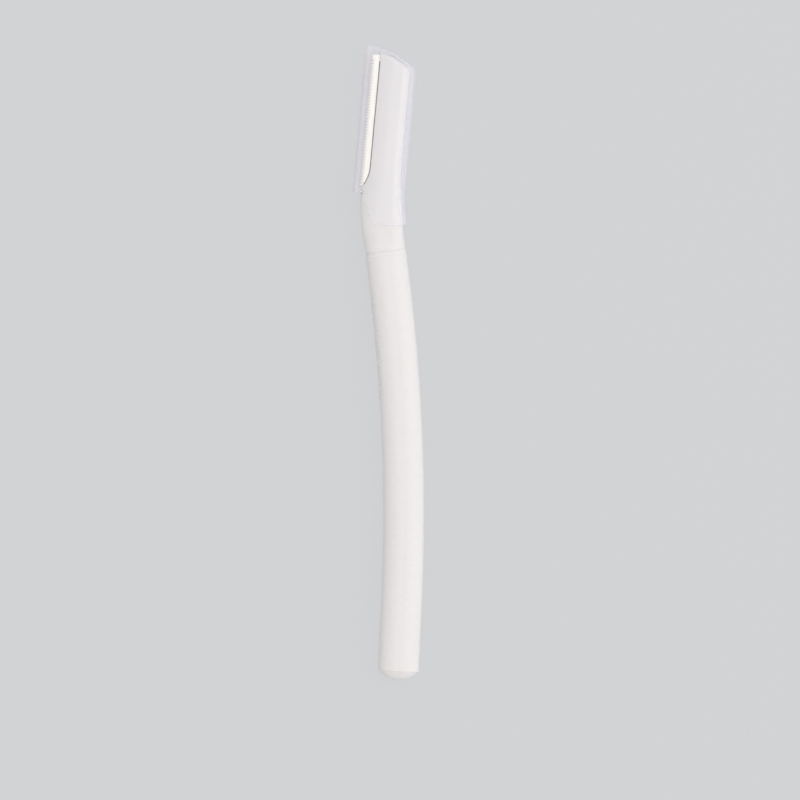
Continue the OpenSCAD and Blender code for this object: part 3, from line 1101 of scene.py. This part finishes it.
@dataclass
class Head:
    """The head: its moulding, the clamp plate behind, the blade and the folded guard.

    Args:
        plan: Where the head's axis lies.
        top: The arched top.
        form: The head's form before its open side is cut.
        neck_half: Half thickness of the neck at the handle.
        neck_len: Length over which the neck thins.
        neck_step: Step from the handle's mouth to the neck.
        neck_curve: Power of the curve by which the neck narrows on the spine's side.
        belly: How far the neck swells on its blade side between the handle and the heel.
        spine_v: Height where the spine straightens.
        heel_v: Height of the heel.
        window: Distance to the moulding's edge, height and radius of the open side's lower end.
        plate: Lower end and right edge of the clamp plate.
        blade_t: Thickness of the blade.
        guard_t: Thickness of the guard's steel.
        guard_u: Distance from the axis to the tips of the teeth.
        guard_w: Width of the folded sides.
        guard_v: Lower end of the guard.
        guard_len: Length of the guard.
        gap: Gap between the guard's front side and the moulding.
        play: Clearance round the guard and the clamp plate.
        trim: Height and radius of the rounded corner at the lower end of the guard's front side.
        slot: Count, pitch, width and depth of the slots.
        nub: Radius, half length and edge radius of the stop nub.
        moat: Width and depth of the groove round it.
        tang: Length of the tang, and how much slimmer than the handle it is on each side.
        round: Points round the head.
    """

    plan: Plan
    top: Top
    form: Form = Form(8.4, 2.05, 2.3, 20.15, 1.2)
    neck_half: float = 3.35
    neck_len: float = 9.0
    neck_step: float = 0.15
    neck_curve: float = 1.35
    belly: float = 0.45
    spine_v: float = 19.5
    heel_v: float = 14.0
    window: Triple = (5.88, 20.8, 8.5)
    plate: Pair = (15.0, 0.3)
    blade_t: float = 0.25
    guard_t: float = 0.15
    guard_u: float = 7.85
    guard_w: float = 3.2
    guard_v: float = 16.0
    guard_len: float = 32.9
    gap: float = 0.3
    play: float = 0.05
    trim: Pair = (17.3, 0.7)
    slot: tuple[int, float, float, float] = (43, 0.73, 0.34, 0.75)
    nub: Triple = (0.32, 1.4, 0.31)
    moat: Pair = (0.33, 0.4)
    tang: Pair = (14.0, 1.35)
    round: int = 144

    def tang_ring(self, drop: float) -> Ring:
        """Returns a ring of the tang.

        Args:
            drop: Distance below the handle's mouth.

        Returns:
            The ring's points.
        """
        reach = self.plan.handle_w / 2 - self.tang[1]
        section = Section(reach, reach, self.plan.half_t - self.tang[1])
        run = self.plan.handle_len - drop
        return [self.plan.on_handle(run, x, z) for x, z in section.ring(self.round)]

    def neck_ring(self, t: float) -> Ring:
        """Returns a ring of the neck.

        Args:
            t: Share of the way up from the handle's mouth to the straight spine.

        Returns:
            The ring's points.
        """
        width = self.plan.handle_w / 2 - self.neck_step
        reach, rise = (width * math.cos(self.plan.neck_turn), width * math.sin(self.plan.neck_turn))
        heel_u, heel_v = self.plan.heel_u, self.heel_v
        low, high = mix(-rise, self.spine_v, t), mix(rise, self.spine_v, t)
        if low < heel_v:
            share = (low + rise) / (heel_v + rise)
            left = mix(-reach, -heel_u, share) - self.belly * math.sin(math.pi * share)
        else:
            left = mix(-heel_u, -self.form.fin, (low - heel_v) / (self.spine_v - heel_v))
        right = self.form.spine + (reach - self.form.spine) * (1 - t) ** self.neck_curve
        half = mix(self.neck_half, self.form.half, ease((low + high) / 2 / self.neck_len))
        ridge = mix(0.0, -self.top.ridge, ease(t))
        left_blunt = mix(Section.left_blunt, FIN_BLUNT, ease(t) ** 2)
        section = Section(ridge - left, right - ridge, half, left_blunt, SPINE_BLUNT)
        return [self.plan.on_head(ridge + x, mix(low, high, (ridge + x - left) / (right - left)), z)
                for x, z in section.ring(self.round)]

    def top_ring(self, turn: float, share: float = 1.0) -> Ring:
        """Returns a ring of the rim, or one on the way up to it.

        Args:
            turn: Turn round the rim, in degrees.
            share: Share of the way up from where the spine straightens.

        Returns:
            The ring's points.
        """
        spots = [self.top.rim_spot(self.form, math.tau * k / self.round, turn)
                 for k in range(self.round)]
        return [self.plan.on_head(u, mix(self.spine_v, v, share), z) for u, v, z in spots]

    def whole(self, name: str) -> Object:
        """Makes the head's whole form, from the tang to the rounded top.

        Args:
            name: Name of the piece that is cut from it.

        Returns:
            The uncut form.
        """
        rings = [self.tang_ring(self.tang[0] * (1 - t)) for t in steps(4)]
        rings += [self.neck_ring(t) for t in steps(48)]
        rings += [self.top_ring(0.0, t) for t in steps(14)[1:]]
        rings += [self.top_ring(turn) for turn in range(9, 90, 9)]
        return Skin(name, rings).build(Ends.LADDER, Ends.LADDER)

    def prism(self, name: str, outline: Sequence[Pair], low: float, high: float) -> Object:
        """Makes a straight-sided solid over an outline in the head's plan."""
        rings = [[self.plan.on_head(x, y, z) for x, y in outline] for z in (low, high)]
        return Skin(name, rings).build(Ends.FAN, Ends.FAN)

    def rod(self, name: str, r: float, low: float, high: float, edge: float) -> Object:
        """Makes a round rod that stands where the nub is.

        Args:
            name: Name of the object.
            r: Its radius.
            low: Depth of its lower end.
            high: Depth of its upper end.
            edge: Radius of its rounded edges, or 0.

        Returns:
            The rod.
        """
        rounding = arc((r - edge, edge), edge, -90, 0, 4) if edge else [(r, 0.0)]
        levels = [(radius, low + rise) for radius, rise in rounding]
        levels += [(radius, high - rise) for radius, rise in reversed(rounding)]
        centre = (-self.plan.heel_u, self.plan.nub_v)
        rings = [[self.plan.on_head(x, y, z) for x, y in arc(centre, radius, 0, 360, 48)[:-1]]
                 for radius, z in levels]
        return Skin(name, rings).build(Ends.FAN, Ends.FAN)

    def window_tool(self, gap: float) -> Object:
        """Makes the solid that opens the blade's side, with its rounded lower end.

        Args:
            gap: How far the opening is widened all along.

        Returns:
            The solid.
        """
        edge, v, r = self.window
        outline = [(gap - edge, PAST_TIP)] + arc((-edge - r, v), r + gap, 0, -90, 48)
        outline += [(-edge - 2 * r, v - r - gap), (-edge - 2 * r, PAST_TIP)]
        return self.prism("window_tool", outline, -PAST_FACES, PAST_FACES)

    def box_tool(self, low: Triple, high: Triple) -> Object:
        """Makes a box in the head's frame between two corners."""
        outline = [(low[0], low[1]), (high[0], low[1]), (high[0], high[1]), (low[0], high[1])]
        return self.prism("box_tool", outline, low[2], high[2])

    def open_up(self, piece: Object, gap: float) -> None:
        """Cuts the open side and the guard's pocket out of a piece.

        Args:
            piece: The piece.
            gap: How far the open side is widened.
        """
        side = self.blade_t / 2 + self.guard_t
        carve(piece, self.window_tool(gap))
        carve(piece, self.box_tool(
            (-PAST_TEETH, self.guard_v - self.play, -side),
            (self.guard_w - self.guard_u + self.play, PAST_TIP, side)))

    def body(self) -> Object:
        """Makes the head's moulding in front of the blade, with its nub.

        Returns:
            The moulding.
        """
        piece = self.whole("head_moulding")
        plate_v, plate_u = self.plate
        carve(piece, self.box_tool((-PAST_TEETH, plate_v, -PAST_FACES),
                                   (plate_u, PAST_TIP, -self.blade_t / 2)))
        self.open_up(piece, self.gap)
        r, half, edge = self.nub
        moat_w, moat_d = self.moat
        carve(piece, self.rod("moat", r + moat_w, -moat_d, PAST_FACES, 0.0))
        carve(piece, self.rod("nub", r, -half, half, edge), "UNION")
        return piece

    def plate_piece(self) -> Object:
        """Makes the clamp plate behind the blade.

        Returns:
            The plate.
        """
        piece = self.whole("clamp_plate")
        plate_v, plate_u = self.plate
        carve(piece, self.box_tool(
            (-PAST_TEETH, plate_v + self.play, -PAST_FACES),
            (plate_u - self.play, PAST_TIP, -self.blade_t / 2)), "INTERSECT")
        self.open_up(piece, 0.0)
        return piece

    def guard_profile(self) -> list[Pair]:
        """Draws the guard's section.

        Returns:
            Its points, along the front side, round the fold and back inside.
        """
        inner = self.blade_t / 2
        outer = inner + self.guard_t
        centre, open_u = (outer - self.guard_u, 0.0), self.guard_w - self.guard_u
        slot_u = self.slot[3] - self.guard_u
        return ([(open_u, outer), (slot_u, outer)] + arc(centre, outer, 90, 270, 10)
                + [(slot_u, -outer), (open_u, -outer), (open_u, -inner), (slot_u, -inner)]
                + arc(centre, inner, 270, 90, 10) + [(slot_u, inner), (open_u, inner)])

    @staticmethod
    def close_strip(shape: bmesh.types.BMesh, row: Verts, places: range) -> None:
        """Closes the folded strip's section with a face across it at each place along it."""
        for i in places:
            shape.faces.new((row[i], row[i + 1], row[-2 - i], row[-1 - i]))

    def guard_slice(self) -> Object:
        """Makes one pitch of the guard: a slot with half a tooth on either side.

        Returns:
            The slice, open at both ends.
        """
        _, pitch, slot_w, _ = self.slot
        profile = self.guard_profile()
        n = len(profile)
        half = n // 2
        shape = bmesh.new()
        rows = [[shape.verts.new(Vector((x, v, z)) * MM) for x, z in profile]
                for v in (0.0, (pitch - slot_w) / 2, (pitch + slot_w) / 2, pitch)]
        bridge(shape, rows[0], rows[1])
        bridge(shape, rows[1], rows[2], (*range(1, half - 2), *range(half + 1, n - 2)))
        bridge(shape, rows[2], rows[3])
        for row in rows[1:3]:
            self.close_strip(shape, row, range(1, half - 2))
        for i in (1, half - 2):
            shape.faces.new((rows[1][i], rows[2][i], rows[2][-1 - i], rows[1][-1 - i]))
        return link_mesh("guard_slice", shape)

    def guard(self, material: Material) -> Object:
        """Makes the folded guard: a row of slots between two plain ends.

        Args:
            material: Its material.

        Returns:
            The guard.
        """
        count, pitch, _, _ = self.slot
        start = self.guard_v + pitch / 2
        first = self.plan.on_head(0.0, start, 0.0)
        way = self.plan.on_head(0.0, start + pitch, 0.0) - first
        row = Row("Guard slot row", count, first, way, -self.plan.head_tilt, 0.0)
        piece = row.copy_along(self.guard_slice(), material)
        shape = bmesh.new()
        shape.from_mesh(piece.data)
        bpy.data.objects.remove(piece)
        profile = self.guard_profile()
        for near, far in ((start, self.guard_v),
                          (start + count * pitch, self.guard_v + self.guard_len)):
            rows = [[shape.verts.new(self.plan.on_head(x, v, z)) for x, z in profile]
                    for v in (near, far)]
            bridge(shape, *rows)
            self.close_strip(shape, rows[1], range(len(profile) // 2 - 1))
        bmesh.ops.remove_doubles(shape, verts=shape.verts, dist=2e-7)
        whole = finish_mesh("guard_teeth", shape)
        carve(whole, self.trim_tool())
        return whole

    def trim_tool(self) -> Object:
        """Makes the solid that trims the guard's front side along the window's edge.

        Returns:
            The solid.
        """
        edge, v, r = self.window
        corner_v, corner_r = self.trim
        swing = math.degrees(math.asin((v - corner_v) / r))
        curve = arc((-edge - r, v), r, 0, -swing, 16)
        curve += arc((curve[-1][0] - corner_r, corner_v), corner_r, 0, -90, 8)[1:]
        below, beside = self.guard_v - corner_r, -edge / 3
        outline = [(-edge, PAST_TIP), *curve, (curve[-1][0], below), (beside, below),
                   (beside, PAST_TIP)]
        return self.prism("trim_tool", outline, self.blade_t / 2 - OVERLAP, PAST_FACES)

    def build(self) -> None:
        """Makes and dresses every piece of the head."""
        plastic, steel = HEAD_FINISH.make(), GUARD_FINISH.make()
        dress(self.body(), plastic, RAZOR_BODY, "head_plastic", "head_body")
        dress(self.plate_piece(), plastic, RAZOR_BODY, "head_plastic", "blade_clamp_plate")
        dress(self.guard(steel), steel, RAZOR_BODY, "guard_steel", "guard_comb")
        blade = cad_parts["blade"]
        ground = BLADE_FINISH.make()
        for place in blade.material_slots:
            place.material = ground
        # The blade's ground finish is darkened as painted shade and carries a painted highlight on
        # its edge.
        log.info("blade: the frame's own mesh, ground finish")


# The cap


@dataclass
class Cap:
    """The frosted slip-on cap, with its curved mouth.

    Args:
        plan: Where the head's axis lies.
        top: The arched top.
        outer: Its outer surface.
        inner: Its inner surface.
        collar_v: Height below which the collar flares.
        bend: Length over which the spine bends into the collar.
        mouth_v: Height of the mouth under the spine.
        notch_r: Radius of the notch round the nub.
        slant_drop: Drop from the nub to the top of the slanted side.
        mouth_r: Radius of the mouth's rounded end.
        corner_r: Radius of the corner beside it.
        corner_turn: Where that corner ends, in degrees from straight down.
        fade: Width over which the look of the solid rim passes into that of the hollow.
        lip: How far the mouth's rounded lip stands out.
        rows: Steps from the mouth to the rim.
        round: Points round the cap.
    """

    plan: Plan
    top: Top
    outer: Form = Form(Plan.fin_u, 3.46, Plan.half_t, Plan.tip_v - Top.v, 1.6, flare=1.25)
    inner: Form = Form(8.85, 2.56, 2.7, 20.4, 1.1, flare=1.65)
    collar_v: float = 14.0
    bend: float = 1.0
    mouth_v: float = 6.5
    notch_r: float = 0.62
    slant_drop: float = 0.9
    mouth_r: float = 16.0
    corner_r: float = 1.65
    corner_turn: float = 8.7
    fade: float = 0.4
    lip: float = 0.16
    rows: int = 44
    round: int = 288

    def mouth_height(self, u: float) -> float:
        """Finds the mouth's edge at a place across the head.

        Args:
            u: Distance from the head's axis.

        Returns:
            The height, in the head's frame.
        """
        heel_u, nub_v, fin_v = self.plan.heel_u, self.plan.nub_v, self.plan.fin_v
        centre = Vector((-self.top.ridge, self.mouth_v + self.mouth_r))
        away = math.radians(self.corner_turn)
        corner = centre - (self.mouth_r - self.corner_r) * Vector((math.sin(away), math.cos(away)))
        slant = Vector((self.notch_r - heel_u, nub_v - self.slant_drop))
        run = corner - slant
        turn = math.atan2(run.y, run.x) - math.asin(self.corner_r / run.length)
        touch = corner + self.corner_r * Vector((math.sin(turn), -math.cos(turn)))
        left = -heel_u - math.sqrt(self.notch_r ** 2 - (fin_v - nub_v) ** 2)
        if u < left:
            return fin_v
        if u < slant.x:
            return nub_v + math.sqrt(max(0.0, self.notch_r ** 2 - (u + heel_u) ** 2))
        if u < touch.x:
            return mix(slant.y, touch.y, (u - slant.x) / (touch.x - slant.x))
        if u < corner.x - self.corner_r * math.sin(away):
            return corner.y - math.sqrt(max(0.0, self.corner_r ** 2 - (u - corner.x) ** 2))
        return centre.y - math.sqrt(max(0.0, self.mouth_r ** 2 - (u - centre.x) ** 2))

    def spine(self, form: Form, v: float) -> float:
        """Finds how far a surface reaches to the spine, which bends out into the collar.

        Args:
            form: The surface.
            v: Height in the head's frame.

        Returns:
            The distance from the head's axis.
        """
        below = [(drop + math.hypot(drop, self.bend)) / 2
                 for drop in (self.collar_v - v, self.collar_v - self.mouth_v)]
        return form.spine + form.flare * below[0] / below[1]

    def spot(self, form: Form, angle: float, v: float) -> Pair:
        """Finds a point of a surface below its rim.

        Args:
            form: The surface.
            angle: Angle of its section's points, in radians.
            v: Height in the head's frame.

        Returns:
            The place across the head, and the depth.
        """
        ridge = self.top.ridge
        section = Section(form.fin - ridge, self.spine(form, v) + ridge, form.half,
                          FIN_BLUNT, SPINE_BLUNT)
        x, z = section.at(angle)
        return x - ridge, z

    def wall_mark(self, u: float, v: float) -> float:
        """Tells whether solid plastic or the hollow lies under the outer surface.

        Args:
            u: Place across the head.
            v: Height in the head's frame.

        Returns:
            The mark, from OVER_HOLLOW to OVER_SOLID or FIN_EDGE.
        """
        from_fin = u + self.inner.fin
        depth = min(from_fin, self.spine(self.inner, v) - u,
                    self.top.height(self.inner.top_r, u) - v)
        # On the fin's side the rim is marked FIN_EDGE, where the cap's colour takes painted shade.
        rim = FIN_EDGE if depth == from_fin else OVER_SOLID
        return mix(rim, OVER_HOLLOW, ease(0.5 + depth / self.fade))

    def column(self, form: Form, angle: float) -> tuple[Ring, list[float]]:
        """Returns the points of a surface at one angle, from the mouth to the top.

        Args:
            form: The surface.
            angle: Angle of its section's points, in radians.

        Returns:
            The points, and the mark of the wall below each as the outer surface would have it.
        """
        low, high = self.collar_v, self.top.rim_spot(form, angle, 0.0)[1]
        for _ in range(12):
            low = self.mouth_height(self.spot(form, angle, low)[0])
        spots = []
        for v in (mix(low, high, t) for t in steps(self.rows)):
            u, z = self.spot(form, angle, v)
            spots.append((u, v, z))
        spots += [self.top.rim_spot(form, angle, turn) for turn in (*range(9, 82, 9), 88)]
        return ([self.plan.on_head(*spot) for spot in spots],
                [self.wall_mark(u, v) for u, v, _ in spots])

    def shell(self) -> Object:
        """Makes the cap: outer surface, rounded lip at the mouth and inner surface.

        Returns:
            The cap.
        """
        columns, walls = [], []
        for k in range(self.round):
            angle = math.tau * (k + 0.5) / self.round
            outer, marks = self.column(self.outer, angle)
            inner, _ = self.column(self.inner, angle)
            down = (outer[0] - outer[1]).normalized() * self.lip * MM
            lip = [outer[0].lerp(inner[0], (1 - math.cos(math.pi * t)) / 2)
                   + down * math.sin(math.pi * t) for t in steps(6)[1:-1]]
            columns.append(outer[::-1] + lip + inner)
            walls.append(marks[::-1] + [marks[0]] * len(lip) + [ON_HOLLOW] * len(inner))
        skin = Skin("frosted_cap", mark_name=WALL_MARK)
        for ring, marks in zip(zip(*columns), zip(*walls)):
            skin.add(list(ring), marks)
        return skin.build(Ends.LADDER, Ends.LADDER, shift=-1)

    def build(self) -> None:
        """Makes and dresses the cap."""
        dress(self.shell(), CAP_FINISH.make(), CAP_BODY, "cap_plastic", "cap")


# The stage


@dataclass(frozen=True)
class Softbox:
    """A large soft lamp that faces the razor.

    Args:
        name: Name of the lamp.
        place: Where it hangs, in metres.
        size: Its width and length, in metres.
        glow: Brightness of its face, where the tent's is near 1.
    """

    name: str
    place: Triple
    size: Pair
    glow: float

    def hang(self) -> None:
        """Makes the lamp and turns it to the razor."""
        lamp = bpy.data.lights.new(self.name, "AREA")
        lamp.shape = "RECTANGLE"
        lamp.size, lamp.size_y = self.size
        lamp.energy = self.glow * math.pi * self.size[0] * self.size[1]
        box = bpy.data.objects.new(self.name, lamp)
        box.location = self.place
        box.rotation_euler = (-Vector(self.place)).to_track_quat("-Z", "Y").to_euler()
        box.visible_camera = False
        bpy.context.scene.collection.objects.link(box)


@dataclass
class Studio:
    """Floor, lamps, world and the camera straight above the razor.

    Args:
        view_w: Width of floor that the camera sees at the razor's middle, in metres.
        lens: Focal length, in millimetres.
        near: Distance from which the camera sees, in metres.
        aim: Row point under the middle of the picture, in metres.
        backdrop: Colour of the floor as the camera sees it, linear.
        tent: Mean brightness of the white tent all round.
        tent_side: How much brighter it is on the right, and dimmer on the left.
        floor_reach: Reach of the floor to each side, in metres.
        floor_glow: Share of the floor's own colour in what is seen of it; the rest takes shadows.
        softboxes: The soft lamps overhead, on the right and low on the left.
    """

    view_w: float = 0.2
    lens: float = 300.0
    near: float = 0.01
    aim: Pair = (0.00294, -0.00939)
    backdrop: Triple = (0.642, 0.651, 0.665)
    tent: float = 0.86
    tent_side: float = 0.31
    floor_reach: float = 6.0
    floor_glow: float = 0.92
    softboxes: tuple[Softbox, ...] = (
        Softbox("overhead_softbox", (0.06, 0.03, 0.85), (0.7, 0.8), 0.4),
        Softbox("right_softbox", (0.5, 0.05, 0.8), (0.4, 0.9), 1.1),
        Softbox("left_softbox", (-0.9, -0.02, 0.15), (0.25, 1.2), 0.6),
    )

    def camera(self) -> None:
        """Makes the camera, straight above and upright."""
        data = bpy.data.cameras.new("above")
        data.lens = self.lens
        data.sensor_width = SENSOR_W
        data.clip_start = self.near
        camera = bpy.data.objects.new("above", data)
        height = self.view_w * self.lens / SENSOR_W
        camera.location = (*self.aim, height + Plan.half_t * MM)
        bpy.context.scene.collection.objects.link(camera)
        bpy.context.scene.camera = camera

    def floor(self) -> None:
        """Makes the pale floor, which shows its own colour and a soft shadow."""
        shape = bmesh.new()
        reach = self.floor_reach
        corners = ((-reach, -reach), (reach, -reach), (reach, reach), (-reach, reach))
        shape.faces.new([shape.verts.new((x, y, -OVERLAP * MM)) for x, y in corners])
        floor = finish_mesh("floor", shape)
        material = bpy.data.materials.new("floor_paint")
        material.use_nodes = True
        nodes, colour = material.node_tree.nodes, (*self.backdrop, 1.0)
        paint = feed(find_node(nodes, "BSDF_PRINCIPLED"),
                     {"Base Color": colour, "Roughness": 0.9, "Specular IOR Level": 0.0})
        glow = add_node(nodes, "ShaderNodeEmission", {"Color": colour, "Strength": 1.0})
        share = add_math(nodes, "MULTIPLY", add_sight(nodes), self.floor_glow)
        blend = add_node(nodes, "ShaderNodeMixShader", {0: share, 1: paint, 2: glow})
        feed(find_node(nodes, "OUTPUT_MATERIAL"), {"Surface": blend})
        floor.data.materials.append(material)

    def lamps(self) -> None:
        """Makes the soft lamps and the white tent, which is brighter on the right."""
        for softbox in self.softboxes:
            softbox.hang()
        world = bpy.data.worlds.new("studio")
        world.use_nodes = True
        nodes = world.node_tree.nodes
        toward = add_node(nodes, "ShaderNodeTexCoord").outputs["Generated"]
        split = add_node(nodes, "ShaderNodeSeparateXYZ", {0: toward})
        level = add_range(nodes, split.outputs["X"], (-1.0, 1.0),
                          (self.tent - self.tent_side, self.tent + self.tent_side))
        tent = feed(find_node(nodes, "BACKGROUND"),
                    {"Color": (1.0, 1.0, 1.0, 1.0), "Strength": level})
        seen = add_node(nodes, "ShaderNodeBackground", {"Color": (*self.backdrop, 1.0)})
        blend = add_node(nodes, "ShaderNodeMixShader", {0: add_sight(nodes), 1: tent, 2: seen})
        feed(find_node(nodes, "OUTPUT_WORLD"), {"Surface": blend})
        bpy.context.scene.world = world

    def build(self) -> None:
        """Makes everything round the razor."""
        self.camera()
        self.floor()
        self.lamps()
        bpy.context.scene.view_settings.view_transform = "Standard"


def main() -> None:
    """Builds the razor and its studio."""
    logging.basicConfig(level=logging.INFO, format="%(message)s")
    plan, top = Plan(), Top()
    Studio().build()
    Handle(plan).build()
    Head(plan, top).build()
    Cap(plan, top).build()


if __name__ == "__main__":
    main()
